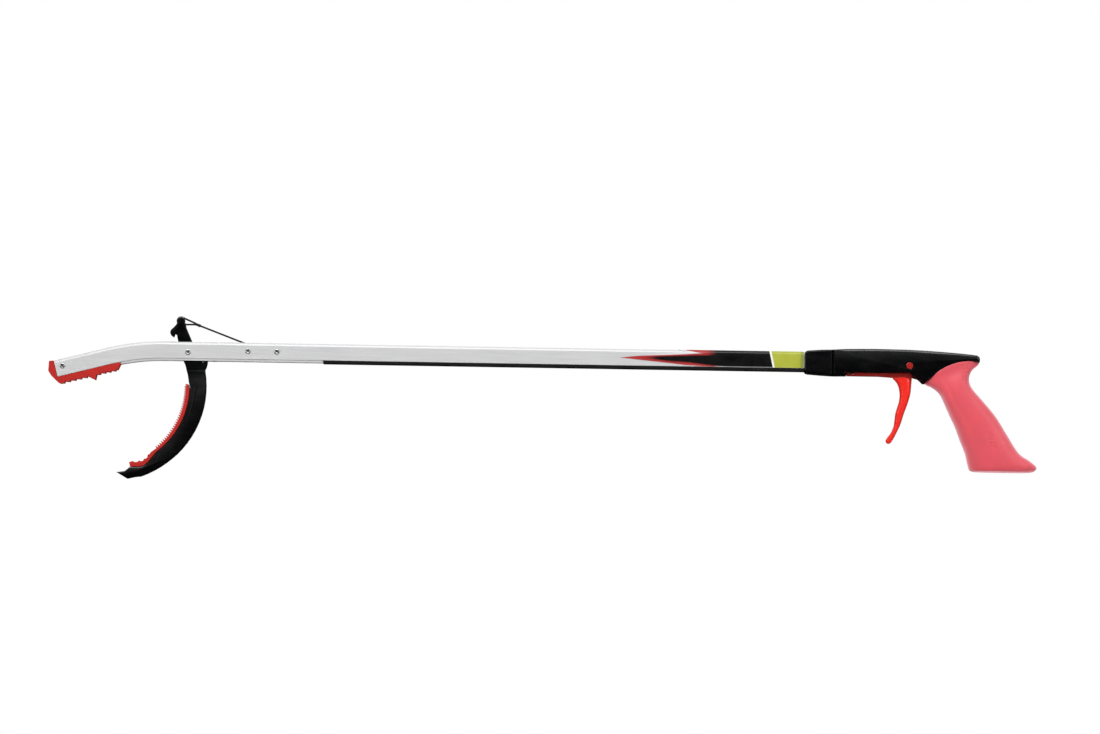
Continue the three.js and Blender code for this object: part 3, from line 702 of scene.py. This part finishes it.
def cord_loop(lean):
    """The loop round the jaw's knob, with both of its ends in the crimp."""
    crimp_start = along(CRIMP, lean, -CRIMP_HALF_LENGTH)
    pull = slope(KNOB, crimp_start)
    eye = arc(KNOB, KNOB_EYE, pull + 72, pull + 288, 26)
    upper = along(crimp_start, lean + 90, 0.55)
    lower = along(crimp_start, lean - 90, 0.55)
    loop = [*even_line(upper, eye[0], 5)[:-1], *eye, *even_line(eye[-1], lower, 5)[1:]]
    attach(cord_piece("cord_loop_eye", loop, ["cord_loop"]), "cord_front")


def cord_crimp(lean):
    """The sleeve pressed onto the cord, with its squeezed grooves."""
    work = bmesh.new()
    rings = []
    sides = 20
    for distance, size in ((-2.5, 0.75), (-2.4, 1.15), (-1.5, 1.3), (-0.9, 1.0), (-0.3, 1.28),
                           (0.3, 1.0), (0.9, 1.28), (1.5, 1.3), (2.4, 1.15), (2.5, 0.75)):
        middle = along(CRIMP, lean, distance)
        ring = []
        for side in range(sides):
            turn = 2 * pi * side / sides
            ring.append(at(*along(middle, lean + 90, size * cos(turn)), size * sin(turn)))
        rings.append(ring)
    loft_into(work, rings)
    crimp = new_piece("cord_crimp_sleeve", work, SATIN)
    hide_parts("cord_crimp")
    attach(crimp, "cord_front")


def cord_strand(lean):
    """The strand from the crimp to the guide."""
    start = along(CRIMP, lean, 2.3)
    end = along(CORD_GUIDE, lean - 90, GUIDE_OFFSET)
    strand = cord_piece("cord_strand_braid", even_line(start, end, 14), ["cord_strand"])
    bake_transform(strand)


def cord_run_and_bend(lean):
    """The long run from under the guide, then the bend over the post in the handle."""
    run_start = (CORD_GUIDE[0] + 0.8, CORD_GUIDE[1] - GUIDE_OFFSET)
    run_end = (CORD_POST[0], CORD_POST[1] + POST_OFFSET)
    run_slope = slope(run_start, run_end)
    run_break = along(run_end, run_slope, -BEND_TAKE_UP)
    under_guide = arc(CORD_GUIDE, GUIDE_OFFSET, lean - 96, -84, 5)
    route = [*under_guide, *even_line(run_start, run_break, 40)[1:]]
    run = cord_piece("cord_long_run", route, ["pull_cord"])
    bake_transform(run)

    over = [*even_line(run_break, run_end, 6)[:-1], *arc(CORD_POST, POST_OFFSET, 90, 0, 10)]
    bend = cord_piece("cord_over_post", over, ["cord_bend"])
    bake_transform(bend)


def cord_tail_and_nipple():
    """The short drop from the post and the steel ferrule at its end."""
    top = (CORD_POST[0] + POST_OFFSET, CORD_POST[1])
    low = along(CORD_NIPPLE, slope(CORD_NIPPLE, top), 1.9)
    tail = cord_piece("cord_tail_drop", even_line(low, top, 6), ["cord_tail"])
    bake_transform(tail)

    work = bmesh.new()
    half = [(2.1, 6.4), (1.8, 6.7), (0.01, 6.7)]
    lathe_into(work, CORD_NIPPLE, [(radius, -y) for radius, y in reversed(half)] + half)
    nipple = new_piece("cord_nipple_barrel", work, STEEL, smooth_angle=30)
    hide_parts("cord_nipple")
    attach(nipple, "cord_nipple")


def cord_pieces():
    """The whole cord, from the knob on the jaw to the trigger's arm."""
    lean = strand_slope()
    cord_loop(lean)
    cord_crimp(lean)
    cord_strand(lean)
    cord_run_and_bend(lean)
    cord_tail_and_nipple()


# ------------------------------------------------------------------ trigger and handle
# Trigger sections from the housing down: front point, back point, half width.
TRIGGER_SECTIONS = [
    ((301.5, -17.5), (318.9, -14.5), 6.6),
    ((302.2, -21.2), (318.7, -19.5), 6.9),
    ((305.2, -24.5), (318.5, -23), 7.0),
    ((307.3, -28.5), (318.2, -27), 7.0),
    ((308.4, -35), (317.6, -34), 7.0),
    ((307.9, -41), (316, -40.5), 7.0),
    ((306.3, -46.5), (314.2, -46), 6.9),
    ((304.8, -52), (312.2, -51.5), 6.8),
    ((304.2, -58), (310.4, -57.5), 6.6),
    ((303.4, -63), (308.8, -62.3), 6.3),
    ((301.2, -68.2), (306.6, -67), 5.9),
    ((298.3, -72.2), (304.6, -71.2), 5.4),
    ((296.9, -74.6), (302.9, -74.3), 4.9),
    ((297, -76.4), (301.4, -76.6), 4.0),
    ((298.2, -77.6), (300, -77.7), 2.2),
]


def soften(value, squareness):
    """A sine or cosine made squarer, with its sign kept."""
    return (1 if value > 0 else -1) * abs(value) ** squareness


def oval_ring(front, back, half, squareness, sides):
    """A rounded cross-section in the plane through its front and back points."""
    ring = []
    for side in range(sides):
        turn = 2 * pi * side / sides
        lengthwise = soften(cos(turn), squareness)
        x = (front[0] + back[0]) / 2 + lengthwise * (back[0] - front[0]) / 2
        z = (front[1] + back[1]) / 2 + lengthwise * (back[1] - front[1]) / 2
        ring.append((x, z, half * soften(sin(turn), squareness)))
    return ring


def trigger_finger():
    """The curved finger piece below the housing."""
    flat = [(*front, *back, half) for front, back, half in TRIGGER_SECTIONS]
    rings = [
        [at(x, z, y) for x, z, y in oval_ring(section[0:2], section[2:4], section[4], 0.72, 36)]
        for section in smooth_line(flat, 4)
    ]
    work = bmesh.new()
    loft_into(work, rings)
    finger = new_piece("trigger_finger", work, RED, smooth_angle=60)
    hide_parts("trigger")
    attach(finger, "trigger")


def trigger_lever():
    """The arm inside the housing, bored for its pin and the ferrule and slotted for the cord."""
    work = bmesh.new()
    boss = arc(TRIGGER_PIN, 6.3, -60, 130, 16)
    outline = [(262.4, -14), (262.4, -19.8), (290, -19.8), (300, -20.4), (318, -22), *boss,
               (300, -9.8), (268, -13.2)]
    plate_into(work, outline, LEVER_HALF_WIDTH, 0.9)
    # Painted shade: the lever takes the darker copy of the finger's red where it sits in shade between
    # the handle's shells.
    lever = new_piece("trigger_lever", work, DARK_RED_AND_PAINTED_SHADE)
    for place, radius in ((TRIGGER_PIN, PIN_BORE), (CORD_NIPPLE, NIPPLE_BORE)):
        bore = bmesh.new()
        lathe_into(bore, place, [(0.01, -10), (radius, -10), (radius, 10), (0.01, 10)])
        carve(lever, bore)
    cord_slot = bmesh.new()
    slot_outline = [(260, -16.8), (268.2, -16.8), (268.2, -8), (260, -8)]
    plate_into(cord_slot, slot_outline, CORD_SLOT_HALF_WIDTH, 0.05)
    carve(lever, cord_slot)
    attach(lever, "trigger")


# Slices of the soft grip from the top down: front x, front z, back x, back z, half width.
GRIP_SLICES = [
    (329.6, -25.2, 376.2, -7.4, 12.35),
    (331.5, -26.8, 374.6, -9.6, 12.6),
    (337.5, -29.6, 370, -13.8, 13.6),
    (343, -34.5, 367.7, -20.5, 14.8),
    (346.5, -41.5, 370, -28.5, 15.6),
    (351.5, -52.5, 380, -40, 16.3),
    (356.5, -63, 391, -53, 16.8),
    (360.5, -73.5, 400.5, -68, 17.2),
    (365, -84.5, 411, -84, 17.5),
    (366.8, -92, 421, -91, 17.5),
    (368, -96.4, 426.4, -95.8, 17.4),
    (369.2, -99.3, 425.3, -99.2, 16.6),
    (371.8, -100.5, 421.6, -100.5, 14.9),
]


def grip_piece():
    """The soft grip: a smooth loft whose top rim follows the S-shaped seam under the handle."""
    seam = smooth_line([(329.6, -25.2), (340, -17.3), (350, -11.3), (360, -7.8), (370, -6.5),
                        (376.2, -7.2)], 12)
    seam_start, seam_end = seam[0][1], seam[-1][1]
    slices = smooth_line(GRIP_SLICES, 5)
    rings = []
    for index, (front_x, front_z, back_x, back_z, half) in enumerate(slices):
        hang = max(0, 1 - index / 9) ** 2
        rim = 0.45 * max(0, 1 - index / 2.5)
        ring = []
        for x, z, y in oval_ring((front_x, front_z), (back_x, back_z), half + rim, 0.66, GRIP_SIDES):
            share = (x - front_x) / (back_x - front_x)
            _, seam_z = seam[round(share * (len(seam) - 1))]
            chord_z = seam_start + share * (seam_end - seam_start)
            down = index / (len(slices) - 1)
            dent = 1.3 * sin(pi * min(1, down * 1.15)) * max(0, 1 - abs(share - 0.3) / 0.16) ** 2
            inward = dent * (1 if y > 0 else -1) * min(1, abs(y) / 9)
            ring.append((x, z + hang * (seam_z - chord_z), y - inward))
        rings.append(ring)
    inner = [(x, z + 0.1, y * 0.93) for x, z, y in rings[0]]
    crest = [(x, z + 0.55, y * 0.985) for x, z, y in rings[0]]
    rings = [inner, crest, *rings]
    base = rings[-1]
    centre = (396.5, GRIP_SLICES[-1][1])
    rings.append([(centre[0] + (x - centre[0]) * 0.96, z, y * 0.955) for x, z, y in base])
    work = bmesh.new()
    loft_into(work, [[at(x, z, y) for x, z, y in ring] for ring in rings])
    piece = new_piece("grip_soft_sleeve", work, SOFT, smooth_angle=50)
    strap_hole = bmesh.new()
    turns = [2 * pi * side / 24 for side in range(24)]
    rims = []
    for z in (-103, -96.5):
        rims.append([
            at(STRAP_HOLE_X + STRAP_HOLE_RADIUS * cos(turn), z, STRAP_HOLE_RADIUS * sin(turn))
            for turn in turns
        ])
    loft_into(strap_hole, rims)
    carve(piece, strap_hole)
    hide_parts("grip_sleeve")
    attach(piece, "frame")


def handle_pieces():
    """The collar and the two halves of the handle."""
    refined("front_collar", "front_collar_shell", "frame", GLOSS, edge=0.4,
            segments=3, angle=28)
    for side in ("left", "right"):
        refined("handle_shell_" + side, "handle_half_" + side, "frame", GLOSS,
                edge=0.25, angle=28)


# ------------------------------------------------------------------ floor, light and camera
def floor():
    """A pale floor, clear from underneath and fading out with distance."""
    work = bmesh.new()
    bmesh.ops.create_grid(work, x_segments=2, y_segments=2, size=4)
    look = Graph("pale_floor", Base_Color=colour(0.82, 0.82, 0.82), Roughness=0.8)
    under = look.add("ShaderNodeNewGeometry").outputs["Backfacing"]
    away = look.add("ShaderNodeVectorMath", {0: look.place}, operation="LENGTH").outputs["Value"]
    faded = look.math("MAXIMUM", under, look.spread(away, 0.8, 2.2, 0, 1, smooth=True))
    clear = look.add("ShaderNodeBsdfTransparent")
    blended = look.add("ShaderNodeMixShader", {
        0: faded, 1: look.surface.outputs[0], 2: clear.outputs[0]})
    look.put(look.tree.nodes["Material Output"].inputs["Surface"], blended.outputs[0])
    mesh = bpy.data.meshes.new("floor")
    work.to_mesh(mesh)
    work.free()
    mesh.materials.append(look.material)
    ground = bpy.data.objects.new("floor", mesh)
    ground.location.z = -0.0005
    ground.visible_glossy = False
    bpy.context.scene.collection.objects.link(ground)


def background():
    """White behind the tool; for reflections, bright above and dark towards the horizon."""
    world = bpy.data.worlds.new("studio")
    bpy.context.scene.world = world
    world.use_nodes = True
    tree = world.node_tree
    seen = tree.nodes["Background"]
    seen.inputs["Color"].default_value = colour(1, 1, 1)
    lit = tree.nodes.new("ShaderNodeBackground")
    height = tree.nodes.new("ShaderNodeSeparateXYZ")
    direction = tree.nodes.new("ShaderNodeTexCoord")
    ramp = tree.nodes.new("ShaderNodeValToRGB")
    ramp.color_ramp.elements[0].position = 0.54
    ramp.color_ramp.elements[0].color = colour(0.012, 0.012, 0.012)
    ramp.color_ramp.elements[1].position = 0.95
    ramp.color_ramp.elements[1].color = colour(0.8, 0.8, 0.8)
    shift = tree.nodes.new("ShaderNodeMapRange")
    shift.inputs["From Min"].default_value = -1
    tree.links.new(direction.outputs["Generated"], height.inputs[0])
    tree.links.new(height.outputs["Z"], shift.inputs["Value"])
    tree.links.new(shift.outputs[0], ramp.inputs[0])
    tree.links.new(ramp.outputs[0], lit.inputs["Color"])
    path = tree.nodes.new("ShaderNodeLightPath")
    blended = tree.nodes.new("ShaderNodeMixShader")
    tree.links.new(path.outputs["Is Camera Ray"], blended.inputs[0])
    tree.links.new(lit.outputs[0], blended.inputs[1])
    tree.links.new(seen.outputs[0], blended.inputs[2])
    tree.links.new(blended.outputs[0], tree.nodes["World Output"].inputs["Surface"])


def softbox(name, place, aim, size, power):
    """A rectangular area light in metres and watts, turned towards its aim."""
    light = bpy.data.lights.new(name, "AREA")
    light.shape = "RECTANGLE"
    light.size, light.size_y = size
    light.energy = power
    lamp = bpy.data.objects.new(name, light)
    lamp.location = place
    lamp.rotation_euler = (Vector(aim) - Vector(place)).to_track_quat("-Z", "Y").to_euler()
    bpy.context.scene.collection.objects.link(lamp)


def lights():
    """A large key light above and in front, one on each side, and one behind."""
    softbox("key_softbox", (-0.3, -1.5, 1.5), (0, 0, 0.1), (1.6, 0.8), 31)
    softbox("right_softbox", (1.4, -1.1, 0.7), (0.2, 0, 0.08), (0.7, 1.0), 8)
    softbox("left_softbox", (-1.7, -0.8, 0.4), (0.1, 0, 0.06), (0.4, 1.0), 5)
    softbox("back_softbox", (0.1, 1.3, 1.3), (0, 0, 0.1), (1.4, 0.6), 7)


def camera():
    """The photograph's view: a long lens a little below the tool, turned slightly about its axis."""
    rise, roll, distance = radians(3.6), radians(0.947), 5.26
    target = Vector((0.00565, 0, 0.1020))
    forward = Vector((0, cos(rise), sin(rise)))
    level_up = Vector((0, -sin(rise), cos(rise)))
    right = Vector((1, 0, 0)) * cos(roll) + level_up * sin(roll)
    up = level_up * cos(roll) - Vector((1, 0, 0)) * sin(roll)
    lens = bpy.data.cameras.new("photo_lens")
    lens.lens = 200
    lens.sensor_width = 36
    lens.sensor_fit = "HORIZONTAL"
    lens.clip_end = 50
    view = bpy.data.objects.new("photo_camera", lens)
    place = target - forward * distance
    turned = Matrix((right, up, -forward)).transposed().to_4x4()
    view.matrix_world = Matrix.Translation(place) @ turned
    bpy.context.scene.collection.objects.link(view)
    bpy.context.scene.camera = view


camera()
background()
lights()
floor()
shaft_pieces()
jaw_pieces()
fasteners()
return_spring()
cord_pieces()
trigger_finger()
trigger_lever()
grip_piece()
handle_pieces()
bpy.context.scene.view_settings.view_transform = "Standard"
